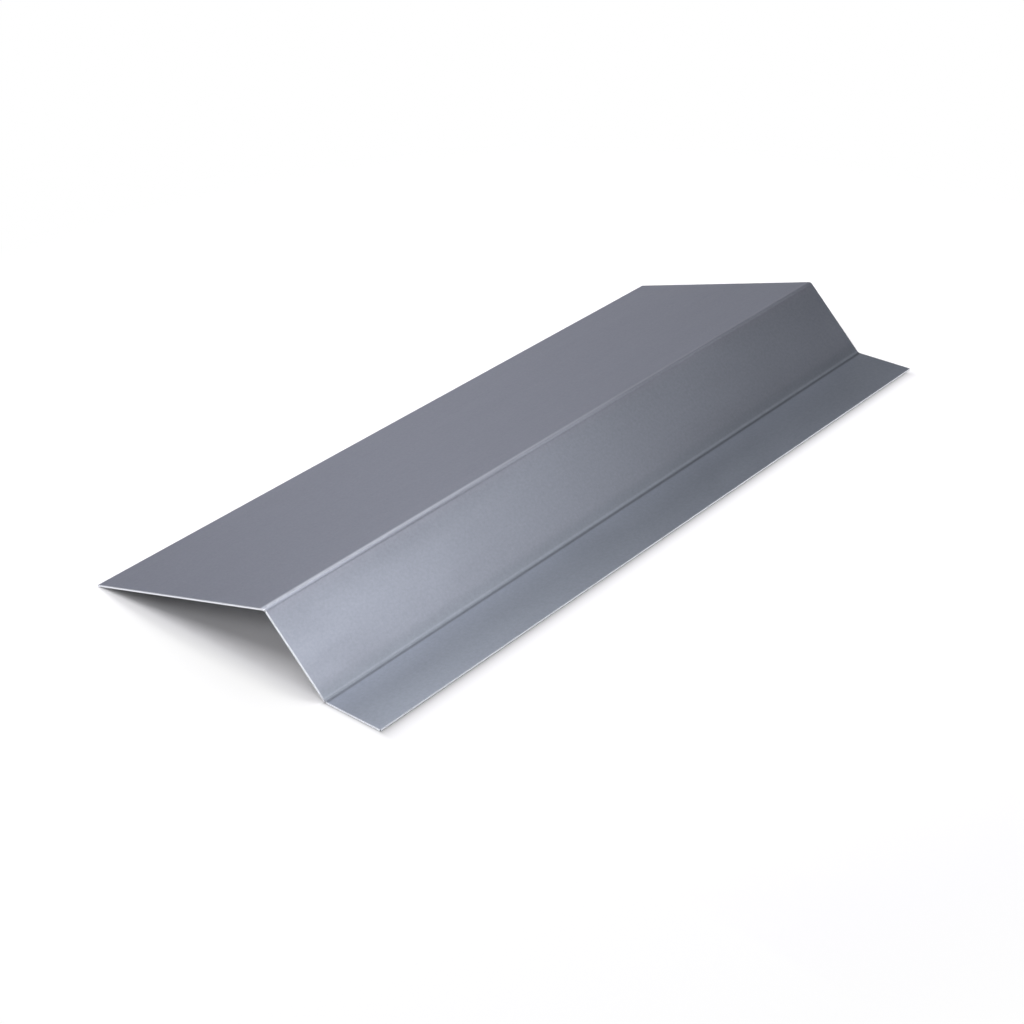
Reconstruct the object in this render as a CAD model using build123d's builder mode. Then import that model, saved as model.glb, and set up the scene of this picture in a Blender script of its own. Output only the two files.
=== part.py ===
from build123d import *
from math import cos, radians, sin, tan
import os

# Roof hip capping: one strip of sheet metal, folded twice along its length.
# Across the capping, from -X to +X: a wide wing that rises to the ridge, a steep skirt
# that drops from the ridge, and a level foot that runs out from the skirt.
# The capping lies along Y. Its foot and the free edge of its wing rest on Z = 0.

# Driving dimensions, in millimetres and degrees
length = 1000
sheet_thickness = 2.0
wing_width = 295
wing_pitch = 16
skirt_pitch = 46
foot_width = 80
ridge_bend_radius = 4.0
valley_bend_radius = 6.0
edge_break = 0.25

# The ridge stands as high as the wing climbs, and the skirt comes down that far again.
ridge_height = wing_width * sin(radians(wing_pitch))
wing_run = wing_width * cos(radians(wing_pitch))
skirt_run = ridge_height / tan(radians(skirt_pitch))

# The wing is cut square to its own face, so its top corner overhangs the lower one.
edge_overhang = sheet_thickness * sin(radians(wing_pitch))
overall_width = edge_overhang + wing_run + skirt_run + foot_width

# Corners of the underside, before they are rounded by the folds
wing_edge_x = edge_overhang - overall_width / 2
ridge_x = wing_edge_x + wing_run
valley_x = ridge_x + skirt_run
foot_edge_x = valley_x + foot_width

# Each bend radius is the one on the inside of its fold. The underside is inside the
# ridge fold and outside the valley fold.
underside_radii = [ridge_bend_radius, valley_bend_radius + sheet_thickness]


with BuildPart() as capping_sheet:
    with BuildSketch(Plane.XZ) as section:
        with BuildLine():
            underside = FilletPolyline(
                (wing_edge_x, 0),
                (ridge_x, ridge_height),
                (valley_x, 0),
                (foot_edge_x, 0),
                radius=underside_radii,
            )
            offset(underside, amount=sheet_thickness, side=Side.LEFT, mode=Mode.ADD)
        make_face()
    extrude(amount=length / 2, both=True)

    # The sharp corners left by the shears are taken off all round, at both ends and
    # along the two long edges.
    ends = capping_sheet.faces().filter_by(Axis.Y)
    wing_edge = capping_sheet.faces().sort_by(Axis.X).first
    foot_edge = capping_sheet.faces().sort_by(Axis.X).last
    sheared_faces = [*ends, wing_edge, foot_edge]
    fillet([face.edges() for face in sheared_faces], radius=edge_break)

capping_sheet.part.label = "capping_sheet"

os.makedirs("parts", exist_ok=True)
export_step(capping_sheet.part, "parts/capping_sheet.step")
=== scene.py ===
from math import cos, pi, radians, sin, tan

import bpy
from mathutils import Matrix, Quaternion, Vector


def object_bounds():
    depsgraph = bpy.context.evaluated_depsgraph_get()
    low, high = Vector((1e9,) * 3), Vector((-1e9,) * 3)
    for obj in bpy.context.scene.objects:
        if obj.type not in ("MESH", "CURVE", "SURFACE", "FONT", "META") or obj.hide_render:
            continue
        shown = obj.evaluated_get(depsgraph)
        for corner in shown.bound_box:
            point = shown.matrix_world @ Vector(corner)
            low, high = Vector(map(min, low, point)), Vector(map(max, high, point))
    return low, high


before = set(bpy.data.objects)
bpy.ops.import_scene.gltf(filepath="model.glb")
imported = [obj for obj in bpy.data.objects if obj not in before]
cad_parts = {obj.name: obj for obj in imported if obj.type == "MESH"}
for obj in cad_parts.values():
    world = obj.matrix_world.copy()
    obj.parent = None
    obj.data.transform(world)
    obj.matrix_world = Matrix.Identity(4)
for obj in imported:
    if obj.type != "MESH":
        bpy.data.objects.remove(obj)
cad_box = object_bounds()

# The roof hip capping on its studio floor. The solid stays as it was packed, and this
# script adds its material, the floor, the lamps, the room and the camera.

# The photograph's camera, in metres and degrees. Azimuth 0 looks along +Y.
CAMERA_PLACE = (1.4549, -1.6529, 1.2447)
CAMERA_AZIMUTH = 42.127
CAMERA_ELEVATION = 30.614
CAMERA_ROLL = -2.533
CAMERA_LENS_MM = 72.94
CAMERA_SENSOR_MM = 36.0

# The capping's section, in metres and degrees. The places of its edges and folds along X,
# and of its ends along Y, are worked out from the far corner of the solid's own box.
WING_WIDTH = 0.295
WING_PITCH = 16.0
SKIRT_PITCH = 46.0
FOOT_WIDTH = 0.080
FOOT_EDGE_X, HALF_LENGTH, _ = cad_box[1]
VALLEY_X = FOOT_EDGE_X - FOOT_WIDTH
RIDGE_HEIGHT = WING_WIDTH * sin(radians(WING_PITCH))
RIDGE_X = VALLEY_X - RIDGE_HEIGHT / tan(radians(SKIRT_PITCH))
WING_EDGE_X = RIDGE_X - WING_WIDTH * cos(radians(WING_PITCH))

# Softboxes: where each stands, what it faces, its two sides in metres and its brightness,
# where plain white in the picture is 1
SOFTBOXES = {
    "overhead_left": ((-0.485, 0.902, 2.2), (-0.485, 0.902, 0.0), 2.347, 1.433, 3.655),
    "overhead_right": ((2.134, 1.222, 2.2), (2.134, 1.222, 0.0), 0.905, 1.653, 6.567),
    "overhead_front": ((-0.50, -1.12, 2.2), (-0.50, -1.12, 0.0), 1.8, 1.2, 4.07),
    "front_fill": ((-0.843, -2.8, 1.63), (-0.253, -0.5, 0.05), 1.6, 1.2, 3.80),
    "side_left": ((-2.7, 1.429, 1.678), (0.0, 1.429, 1.678), 1.425, 0.677, 3.10),
    "back_wall": ((-0.324, 3.2, 1.956), (-0.324, 0.0, 1.956), 2.354, 1.282, 0.54),
}

# The studio room: a white backdrop up to the first height in degrees, which fades into a
# dim ceiling at the second
BACKDROP_LEVEL = 1.0
CEILING_LEVEL = 0.142
BACKDROP_TOP = -1.0
CEILING_START = 15.0
# The colour of that room, and of the floor far out
WHITE = (1, 1, 1, 1)

# The floor is white paper. FLOOR_SEEN is its colour in the picture, and FLOOR_LIT the one
# by which it throws light back on the capping. Between two distances from the middle it
# fades into plain white.
FLOOR_SIZE = 200.0
FLOOR_SEEN = (0.95, 0.943, 0.970)
FLOOR_LIT = (0.8, 0.8, 0.8, 1)
FLOOR_FADE = (0.68, 1.10)
# Ahead of the near end it is nearly plain white too, painted light over the capping's shadow
# there: between which Y it changes, and how white it gets
AHEAD_Y = (-0.53, -0.49)
AHEAD_WHITE = 0.8
# The soft shadow beside the foot: how deep it is, and its reach in metres in front, at the
# near end, under the skirt and at the far end, where it starts to fade before the corner
SHADOW_DEPTH = 0.62
SHADOW_REACH_FRONT = 0.0100
SHADOW_REACH_NEAR = 0.0030
SHADOW_REACH_INSIDE = 0.0010
SHADOW_REACH_FAR = 0.0060
SHADOW_FAR_Y = 0.488
# The shade under the wing's low side: how deep it is, and how far in from the end it
# starts and is full, in heights of the wing over that spot, which count as this much at
# least. Between these X it fades toward the ridge, and it starts softly at the wing's edge.
UNDER_DEPTH = 0.50
UNDER_REACH = (0.25, 1.10)
LEAST_HEIGHT = 0.001
UNDER_FADE_X = (-0.15, 0.0)
UNDER_EDGE = 0.003

# Fields of noise on the sheet: cells per metre along X, Y and Z, detail and roughness.
# Those of the rolling mill and of the wiping are long along Y, those of the shears along
# Z, and the others are nearly even.
NOISE_RANGE = (0.25, 0.75)
GRAINS = {
    "streak": ((150, 1.3, 150), 3.0, 0.5),
    "line": ((1500, 22, 1500), 2.0, 0.5),
    "cloud": ((11, 6, 11), 3.0, 0.55),
    "speck": ((2600, 2100, 2600), 1.0, 0.5),
    "wipe": ((34, 5, 34), 4.0, 0.6),
    "hair": ((700, 3.5, 700), 1.0, 0.5),
    "mottle": ((330, 270, 330), 3.0, 0.6),
    "shear_end": ((1700, 500, 260), 2.0, 0.6),
    "shear_side": ((500, 1300, 260), 2.0, 0.6),
}
# Only the highest part of this field shows, as fine scratches.
HAIR_RANGE = (0.90, 0.99)

# The sheet's skin: a cool grey with little colour of its own, in two shades for its mottle
SHEET_DARK = (0.210, 0.223, 0.264, 1)
SHEET_LIGHT = (0.260, 0.276, 0.325, 1)
SHEET_SHARES = {
    "streak": 0.07, "line": 0.10, "cloud": 0.15, "speck": 0.10, "mottle": 0.66, "hair": 0.12,
}
# Each face gets its own painted light tint: a shade warmer on the wing and a shade cooler
# on the foot. The tint changes over this width at each fold.
WING_LIGHT_TINT = (1.008, 0.995, 0.998, 1)
SKIRT_LIGHT_TINT = (0.997, 1.001, 1.001, 1)
FOOT_LIGHT_TINT = (0.984, 1.010, 1.004, 1)
TINT_CHANGE = 0.012
SHEET_GRAZING = (0.90, 0.91, 0.99, 1)
SHEET_ROUGHNESS = 0.40
# The coat is rougher where it is cloudy, wiped or grained: by how much at most, and by how
# much in all on average
SHEEN_SHARES = {"cloud": 0.035, "wipe": 0.025, "line": 0.03, "speck": 0.03}
SHEEN_MEAN = 0.06
# Relief: broad waves and a fine grain, as heights in metres
WAVE_HEIGHT = 0.00025
GRAIN_HEIGHT = 0.000004
RELIEF_SHARES = {"line": 0.45, "speck": 0.25, "mottle": 0.30, "hair": -0.4}

# A painted highlight runs along the ridge on its wing side, strongest at the near end. Its
# middle and half width across the sheet, its strength at each end, and where that starts and ends.
RIDGE_HIGHLIGHT_TONE = (0.665, 0.695, 0.775, 1)
RIDGE_HIGHLIGHT_BAND = (RIDGE_X - 0.0037, 0.0052)
HIGHLIGHT_NEAR, HIGHLIGHT_FAR = 0.85, 0.06
HIGHLIGHT_FULL_Y, HIGHLIGHT_FADED_Y = -0.52, 0.35
# Painted light and shade along the folds and on the faces: middle and half width across the
# sheet, middle and half length along it, and how much each brightens or darkens the skin.
WHOLE_LENGTH = 50.0
PAINTED_LIGHT_AND_SHADE = (
    # Painted shade on the ridge's skirt side and on the skirt just below it
    (RIDGE_X + 0.0005, 0.0023, 0.0, WHOLE_LENGTH, -0.19),
    (RIDGE_X + 0.0014, 0.0024, -0.26, 0.24, -0.18),
    (RIDGE_X + 0.0090, 0.0180, -0.26, 0.24, -0.10),
    # Painted light: the middle of the skirt is a little brighter at its near end
    (RIDGE_X + 0.0400, 0.0360, -0.50, 0.32, 0.11),
    # Painted shade above the valley, and in it a painted highlight, then painted shade on its foot
    # side
    (VALLEY_X - 0.0055, 0.0080, 0.0, WHOLE_LENGTH, -0.08),
    (VALLEY_X - 0.0002, 0.0021, 0.0, WHOLE_LENGTH, 0.29),
    (VALLEY_X + 0.0024, 0.0040, 0.0, WHOLE_LENGTH, -0.56),
    # Painted shade: the foot is a little darker than the rest
    (VALLEY_X + 0.0350, 0.0550, 0.0, WHOLE_LENGTH, -0.07),
)

# Underneath, the wash coat is thinner and more neutral, with soft stains.
BACK_DARK = (0.265, 0.272, 0.290, 1)
BACK_LIGHT = (0.325, 0.332, 0.345, 1)
BACK_SHARES = {"cloud": 0.45, "wipe": 0.25, "line": 0.15, "speck": 0.15}
BACK_ROUGHNESS = 0.48

# Where the shears cut it, the bare metal shows. It scatters light widely, so it counts as
# metal by half, and the marks of the shears go deeper than the skin's grain.
CUT_DARK = (0.78, 0.80, 0.855, 1)
CUT_LIGHT = (0.92, 0.94, 0.99, 1)
CUT_SHARES = {"shear": 0.7, "speck": 0.3}
CUT_METALLIC = 0.5
CUT_ROUGHNESS = 0.42
SHEAR_ROUGHNESS = 0.12
SHEAR_RELIEF = 3.0
# The long edges are painted a shade darker than the ends, as painted shade.
LONG_EDGE_SHADE = 0.90
# Beside the cuts the upper skin gets a painted highlight in the bare metal's colour, over this
# width and this much at most. The foot's near end gets a share of that, which starts to fall
# this far before the valley, and so does the foot's long edge.
EDGE_HIGHLIGHT_WIDTH = 0.0018
EDGE_HIGHLIGHT = 0.8
EDGE_HIGHLIGHT_FOOT_END = 0.3
EDGE_HIGHLIGHT_CHANGE = 0.01
EDGE_HIGHLIGHT_FOOT_EDGE = 0.25
# Small dark spots at the near end, on the ridge, the valley and the foot's corner
DARK_SPOTS_X = (RIDGE_X + 0.0015, VALLEY_X + 0.0012, FOOT_EDGE_X)
DARK_SPOT_REACH = 0.0016
DARK_SPOT_TONE = (0.05, 0.05, 0.06, 1)
DARK_SPOT_STRENGTH = 0.8

# How much of a face's normal points along Y at an end, along X at a long edge and along Z
# underneath, where each of these finishes starts and where it is full
END_TURN = (0.35, 0.75)
SIDE_TURN = (0.76, 0.90)
UNDER_TURN = (0.05, -0.20)


def add(tree, kind, settings=None, **sockets):
    """A new shader node. A socket is given by its name, with _ for a space, or by n and
    its number. Its value is a number, a colour or another node's output."""
    made = tree.nodes.new("ShaderNode" + kind)
    for name, value in (settings or {}).items():
        setattr(made, name, value)
    for name, value in sockets.items():
        numbered = name[0] == "n" and name[1:].isdigit()
        socket = made.inputs[int(name[1:]) if numbered else name.replace("_", " ")]
        if isinstance(value, bpy.types.NodeSocket):
            tree.links.new(value, socket)
        else:
            socket.default_value = value
    return made


def calc(tree, operation, first, second=0.0, third=0.0):
    """One step of arithmetic."""
    return add(tree, "Math", {"operation": operation}, n0=first, n1=second, n2=third).outputs[0]


def product(tree, first, *others):
    """Several fields multiplied together."""
    for other in others:
        first = calc(tree, "MULTIPLY", first, other)
    return first


def weigh(tree, parts):
    """The sum of several fields, each times its share."""
    total = 0.0
    for field, share in parts:
        total = calc(tree, "MULTIPLY_ADD", field, share, total)
    return total


def spread(tree, value, low, high, start=0.0, end=1.0, smooth=False):
    """value from low to high becomes start to end, and stays there beyond."""
    kind = "SMOOTHSTEP" if smooth else "LINEAR"
    return add(
        tree, "MapRange", {"interpolation_type": kind},
        Value=value, From_Min=low, From_Max=high, To_Min=start, To_Max=end,
    ).outputs["Result"]


def near_line(tree, place, line, reach):
    """1 where one coordinate is on a line, 0 from reach away from it."""
    away = calc(tree, "ABSOLUTE", calc(tree, "SUBTRACT", place, line))
    return spread(tree, away, 0.0, reach, 1.0, 0.0, smooth=True)


def grain(tree, place, cells, detail, roughness):
    """Noise from 0 to 1, with its own number of cells per metre along X, Y and Z."""
    stretched = add(tree, "Mapping", Vector=place, Scale=cells).outputs[0]
    made = add(tree, "TexNoise", Vector=stretched, Scale=1.0, Detail=detail, Roughness=roughness)
    return spread(tree, made.outputs["Fac"], *NOISE_RANGE)


def blend_value(tree, factor, first, second):
    """first where factor is 0, second where it is 1."""
    return add(tree, "Mix", {"data_type": "FLOAT"}, n0=factor, n2=first, n3=second).outputs[0]


def blend_colour(tree, factor, first, second):
    """first where factor is 0, second where it is 1."""
    made = add(tree, "Mix", {"data_type": "RGBA"}, n0=factor, n6=first, n7=second)
    return made.outputs[2]


def scale_colour(tree, colour, amount):
    """A colour made brighter or darker."""
    made = add(tree, "VectorMath", {"operation": "SCALE"}, Vector=colour, Scale=amount)
    return made.outputs[0]


def seen_ray(tree):
    """1 for the rays that show a surface: straight to the camera, off metal or through glass."""
    path = add(tree, "LightPath").outputs
    either = calc(tree, "MAXIMUM", path["Is Camera Ray"], path["Is Glossy Ray"])
    return calc(tree, "MAXIMUM", either, path["Is Transmission Ray"])


def make_camera():
    """The camera at the photograph's viewing angle."""
    azimuth, elevation = radians(CAMERA_AZIMUTH), radians(CAMERA_ELEVATION)
    back = Vector((sin(azimuth) * cos(elevation), -cos(azimuth) * cos(elevation), sin(elevation)))
    data = bpy.data.cameras.new("photo_camera")
    data.lens = CAMERA_LENS_MM
    data.sensor_width = CAMERA_SENSOR_MM
    camera = bpy.data.objects.new("photo_camera", data)
    bpy.context.scene.collection.objects.link(camera)
    camera.location = CAMERA_PLACE
    camera.rotation_mode = "QUATERNION"
    level = (-back).to_track_quat("-Z", "Y")
    camera.rotation_quaternion = Quaternion(back, radians(CAMERA_ROLL)) @ level
    bpy.context.scene.camera = camera


def foot_shadow(tree, spot):
    """The soft shadow beside the foot: 1 under it, and less with the distance from it."""
    gaps = (
        (calc(tree, "SUBTRACT", spot["X"], FOOT_EDGE_X), SHADOW_REACH_FRONT),
        (calc(tree, "SUBTRACT", VALLEY_X, spot["X"]), SHADOW_REACH_INSIDE),
        (calc(tree, "SUBTRACT", -HALF_LENGTH, spot["Y"]), SHADOW_REACH_NEAR),
        (calc(tree, "SUBTRACT", spot["Y"], SHADOW_FAR_Y), SHADOW_REACH_FAR),
    )
    squares = []
    for gap, reach in gaps:
        reaches = calc(tree, "DIVIDE", calc(tree, "MAXIMUM", gap, 0.0), reach)
        squares.append((calc(tree, "POWER", reaches, 2.0), 1.0))
    away = calc(tree, "SQRT", weigh(tree, squares))
    return calc(tree, "EXPONENT", calc(tree, "MULTIPLY", away, -1.0))


def wing_shade(tree, spot):
    """The shade under the wing's low side. The lower the wing, the nearer the end it starts."""
    from_edge = calc(tree, "SUBTRACT", spot["X"], WING_EDGE_X)
    height = calc(tree, "MULTIPLY", from_edge, tan(radians(WING_PITCH)))
    inward = calc(tree, "SUBTRACT", HALF_LENGTH, calc(tree, "ABSOLUTE", spot["Y"]))
    heights_in = calc(tree, "DIVIDE", inward, calc(tree, "MAXIMUM", height, LEAST_HEIGHT))
    return product(
        tree, spread(tree, heights_in, *UNDER_REACH, smooth=True),
        spread(tree, spot["X"], *UNDER_FADE_X, 1.0, 0.0),
        spread(tree, spot["X"], WING_EDGE_X, WING_EDGE_X + UNDER_EDGE),
    )


def make_floor():
    """A wide level floor of white paper under the capping."""
    bpy.ops.mesh.primitive_plane_add(size=FLOOR_SIZE, location=(0, 0, 0))
    floor = bpy.context.object
    floor.name = "floor"
    material = bpy.data.materials.new("floor_paper")
    material.use_nodes = True
    tree = material.node_tree
    tree.nodes.clear()
    place = add(tree, "TexCoord").outputs["Object"]
    spot = add(tree, "SeparateXYZ", n0=place).outputs

    # Paper with its shadows round the capping, and plain white beyond
    shadows = [(foot_shadow(tree, spot), SHADOW_DEPTH), (wing_shade(tree, spot), UNDER_DEPTH)]
    camera_ray = add(tree, "LightPath").outputs["Is Camera Ray"]
    shadow = calc(tree, "MULTIPLY", weigh(tree, shadows), camera_ray)
    white = scale_colour(tree, FLOOR_SEEN, calc(tree, "SUBTRACT", 1.0, shadow))
    paper = add(tree, "BsdfDiffuse", Color=white).outputs[0]
    beyond = add(tree, "Emission", Color=WHITE, Strength=1.0).outputs[0]
    distance = add(tree, "VectorMath", {"operation": "LENGTH"}, n0=place).outputs["Value"]
    far = spread(tree, distance, *FLOOR_FADE, smooth=True)
    # Painted light over the shadow ahead of the near end
    ahead = spread(tree, spot["Y"], *AHEAD_Y, AHEAD_WHITE, 0.0, smooth=True)
    plain = calc(tree, "MAXIMUM", far, ahead)
    shown = add(tree, "MixShader", n0=plain, n1=paper, n2=beyond).outputs[0]

    # To the capping it throws light back evenly, without those shadows
    lit = add(tree, "BsdfDiffuse", Color=FLOOR_LIT).outputs[0]
    whole = add(tree, "MixShader", n0=seen_ray(tree), n1=lit, n2=shown).outputs[0]
    add(tree, "OutputMaterial", Surface=whole)
    material.cycles.emission_sampling = "NONE"
    floor.data.materials.append(material)


def make_world():
    """A studio room: a white backdrop all round, under a dim ceiling."""
    world = bpy.data.worlds.new("studio_room")
    bpy.context.scene.world = world
    world.use_nodes = True
    tree = world.node_tree
    ray = add(tree, "TexCoord").outputs["Generated"]
    height = add(tree, "SeparateXYZ", n0=ray).outputs["Z"]
    level = spread(
        tree, height, sin(radians(BACKDROP_TOP)), sin(radians(CEILING_START)),
        BACKDROP_LEVEL, CEILING_LEVEL, smooth=True,
    )
    tree.links.new(level, tree.nodes["Background"].inputs["Strength"])
    tree.nodes["Background"].inputs["Color"].default_value = WHITE


def make_softboxes():
    """Plain rectangular lamps overhead, in front, at the left and behind."""
    for name, (place, aim, across, along, level) in SOFTBOXES.items():
        data = bpy.data.lights.new(name, "AREA")
        data.shape = "RECTANGLE"
        data.size, data.size_y = across, along
        data.energy = level * across * along * pi
        lamp = bpy.data.objects.new(name, data)
        bpy.context.scene.collection.objects.link(lamp)
        lamp.location = place
        lamp.rotation_mode = "QUATERNION"
        lamp.rotation_quaternion = (Vector(aim) - Vector(place)).to_track_quat("-Z", "Y")


def make_skin(tree, tone, across, along):
    """The upper skin's colour: mottled grey with a painted light tint per face, a painted
    highlight along the ridge, painted light and shade along the folds, and a painted
    highlight beside the cuts."""
    skin = blend_colour(tree, tone, SHEET_DARK, SHEET_LIGHT)
    # Painted light tint per face
    past_ridge = spread(tree, across, RIDGE_X, RIDGE_X + TINT_CHANGE)
    past_valley = spread(tree, across, VALLEY_X - TINT_CHANGE, VALLEY_X)
    tint = blend_colour(tree, past_ridge, WING_LIGHT_TINT, SKIRT_LIGHT_TINT)
    tint = blend_colour(tree, past_valley, tint, FOOT_LIGHT_TINT)
    skin = add(tree, "VectorMath", {"operation": "MULTIPLY"}, n0=skin, n1=tint).outputs[0]

    # Painted highlight along the ridge's wing side
    ridge_highlight = spread(tree, along, HIGHLIGHT_FULL_Y, HIGHLIGHT_FADED_Y, HIGHLIGHT_NEAR, HIGHLIGHT_FAR, smooth=True)
    ridge_highlight = product(tree, ridge_highlight, near_line(tree, across, *RIDGE_HIGHLIGHT_BAND))
    skin = blend_colour(tree, ridge_highlight, skin, RIDGE_HIGHLIGHT_TONE)
    # Painted light and shade along the folds and on the faces
    painted_shading = 1.0
    for patch_x, reach_x, patch_y, reach_y, strength in PAINTED_LIGHT_AND_SHADE:
        beside = near_line(tree, across, patch_x, reach_x)
        painted_patch = product(tree, beside, near_line(tree, along, patch_y, reach_y))
        painted_shading = calc(tree, "MULTIPLY_ADD", painted_patch, strength, painted_shading)
    skin = scale_colour(tree, skin, painted_shading)

    # Painted highlight beside the cuts, in the bare metal's colour
    foot_end = spread(tree, across, VALLEY_X - EDGE_HIGHLIGHT_CHANGE, VALLEY_X, 1.0, EDGE_HIGHLIGHT_FOOT_END)
    near_end = product(tree, near_line(tree, along, -HALF_LENGTH, EDGE_HIGHLIGHT_WIDTH), foot_end)
    foot_edge = near_line(tree, across, FOOT_EDGE_X, EDGE_HIGHLIGHT_WIDTH)
    edge_highlight = calc(tree, "MAXIMUM", near_end, product(tree, foot_edge, EDGE_HIGHLIGHT_FOOT_EDGE))
    return blend_colour(tree, product(tree, edge_highlight, EDGE_HIGHLIGHT), skin, CUT_DARK)


def make_sheet_material():
    """Satin sheet metal: rolled grain, cloudy sheen, painted light and shade along the folds,
    and bright sheared edges.
    """
    material = bpy.data.materials.new("satin_sheet")
    material.use_nodes = True
    tree = material.node_tree
    shader = tree.nodes["Principled BSDF"]
    coordinates = add(tree, "TexCoord").outputs
    place = coordinates["Object"]
    spot = add(tree, "SeparateXYZ", n0=place).outputs
    across, along = spot["X"], spot["Y"]
    turned = add(tree, "SeparateXYZ", n0=coordinates["Normal"]).outputs

    # Where each finish is: both ends and the two long edges are cut, the rest is skin
    end_on = spread(tree, calc(tree, "ABSOLUTE", turned["Y"]), *END_TURN, smooth=True)
    side_on = spread(tree, calc(tree, "ABSOLUTE", turned["X"]), *SIDE_TURN, smooth=True)
    cut = calc(tree, "MAXIMUM", end_on, side_on)
    under = spread(tree, turned["Z"], *UNDER_TURN)

    fields = {name: grain(tree, place, *values) for name, values in GRAINS.items()}
    fields["hair"] = spread(tree, fields["hair"], *HAIR_RANGE)
    fields["shear"] = blend_value(tree, end_on, fields["shear_side"], fields["shear_end"])

    def mix(shares):
        """Some of these fields, each times its share."""
        return weigh(tree, [(fields[name], share) for name, share in shares.items()])

    # Colour: the skin above, its back underneath, and bare metal with the marks of the
    # shears through its thickness where it is cut
    skin = make_skin(tree, mix(SHEET_SHARES), across, along)
    back = blend_colour(tree, mix(BACK_SHARES), BACK_DARK, BACK_LIGHT)
    colour = blend_colour(tree, under, skin, back)
    bare = blend_colour(tree, mix(CUT_SHARES), CUT_DARK, CUT_LIGHT)
    # Painted shade on the long edges
    bare = scale_colour(tree, bare, spread(tree, side_on, 0.0, 1.0, 1.0, LONG_EDGE_SHADE))
    colour = blend_colour(tree, cut, colour, bare)
    # Small dark spots at the near end's corners
    at_end = near_line(tree, along, -HALF_LENGTH, DARK_SPOT_REACH)
    for dark_spot_x in DARK_SPOTS_X:
        dark_spot = product(tree, at_end, near_line(tree, across, dark_spot_x, DARK_SPOT_REACH))
        colour = blend_colour(tree, product(tree, dark_spot, DARK_SPOT_STRENGTH), colour, DARK_SPOT_TONE)
    tree.links.new(colour, shader.inputs["Base Color"])

    # Sheen
    sheen = mix(SHEEN_SHARES)
    top_rough = calc(tree, "ADD", sheen, SHEET_ROUGHNESS - SHEEN_MEAN)
    under_rough = calc(tree, "ADD", sheen, BACK_ROUGHNESS - SHEEN_MEAN)
    rough = blend_value(tree, under, top_rough, under_rough)
    least_rough = CUT_ROUGHNESS - SHEAR_ROUGHNESS / 2
    cut_rough = calc(tree, "MULTIPLY_ADD", fields["shear"], SHEAR_ROUGHNESS, least_rough)
    tree.links.new(blend_value(tree, cut, rough, cut_rough), shader.inputs["Roughness"])
    tree.links.new(spread(tree, cut, 0.0, 1.0, 1.0, CUT_METALLIC), shader.inputs["Metallic"])
    shader.inputs["Specular Tint"].default_value = SHEET_GRAZING

    # Relief
    shear_relief = product(tree, fields["shear"], SHEAR_RELIEF)
    relief = blend_value(tree, cut, mix(RELIEF_SHARES), shear_relief)
    waves = add(tree, "Bump", Strength=1.0, Distance=WAVE_HEIGHT, Height=fields["cloud"]).outputs[0]
    fine = add(tree, "Bump", Strength=1.0, Distance=GRAIN_HEIGHT, Height=relief, Normal=waves)
    tree.links.new(fine.outputs[0], shader.inputs["Normal"])
    return material


make_camera()
make_floor()
make_world()
make_softboxes()
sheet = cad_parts["capping_sheet"]
sheet.material_slots[0].material = make_sheet_material()
bpy.context.scene.view_settings.view_transform = "Standard"
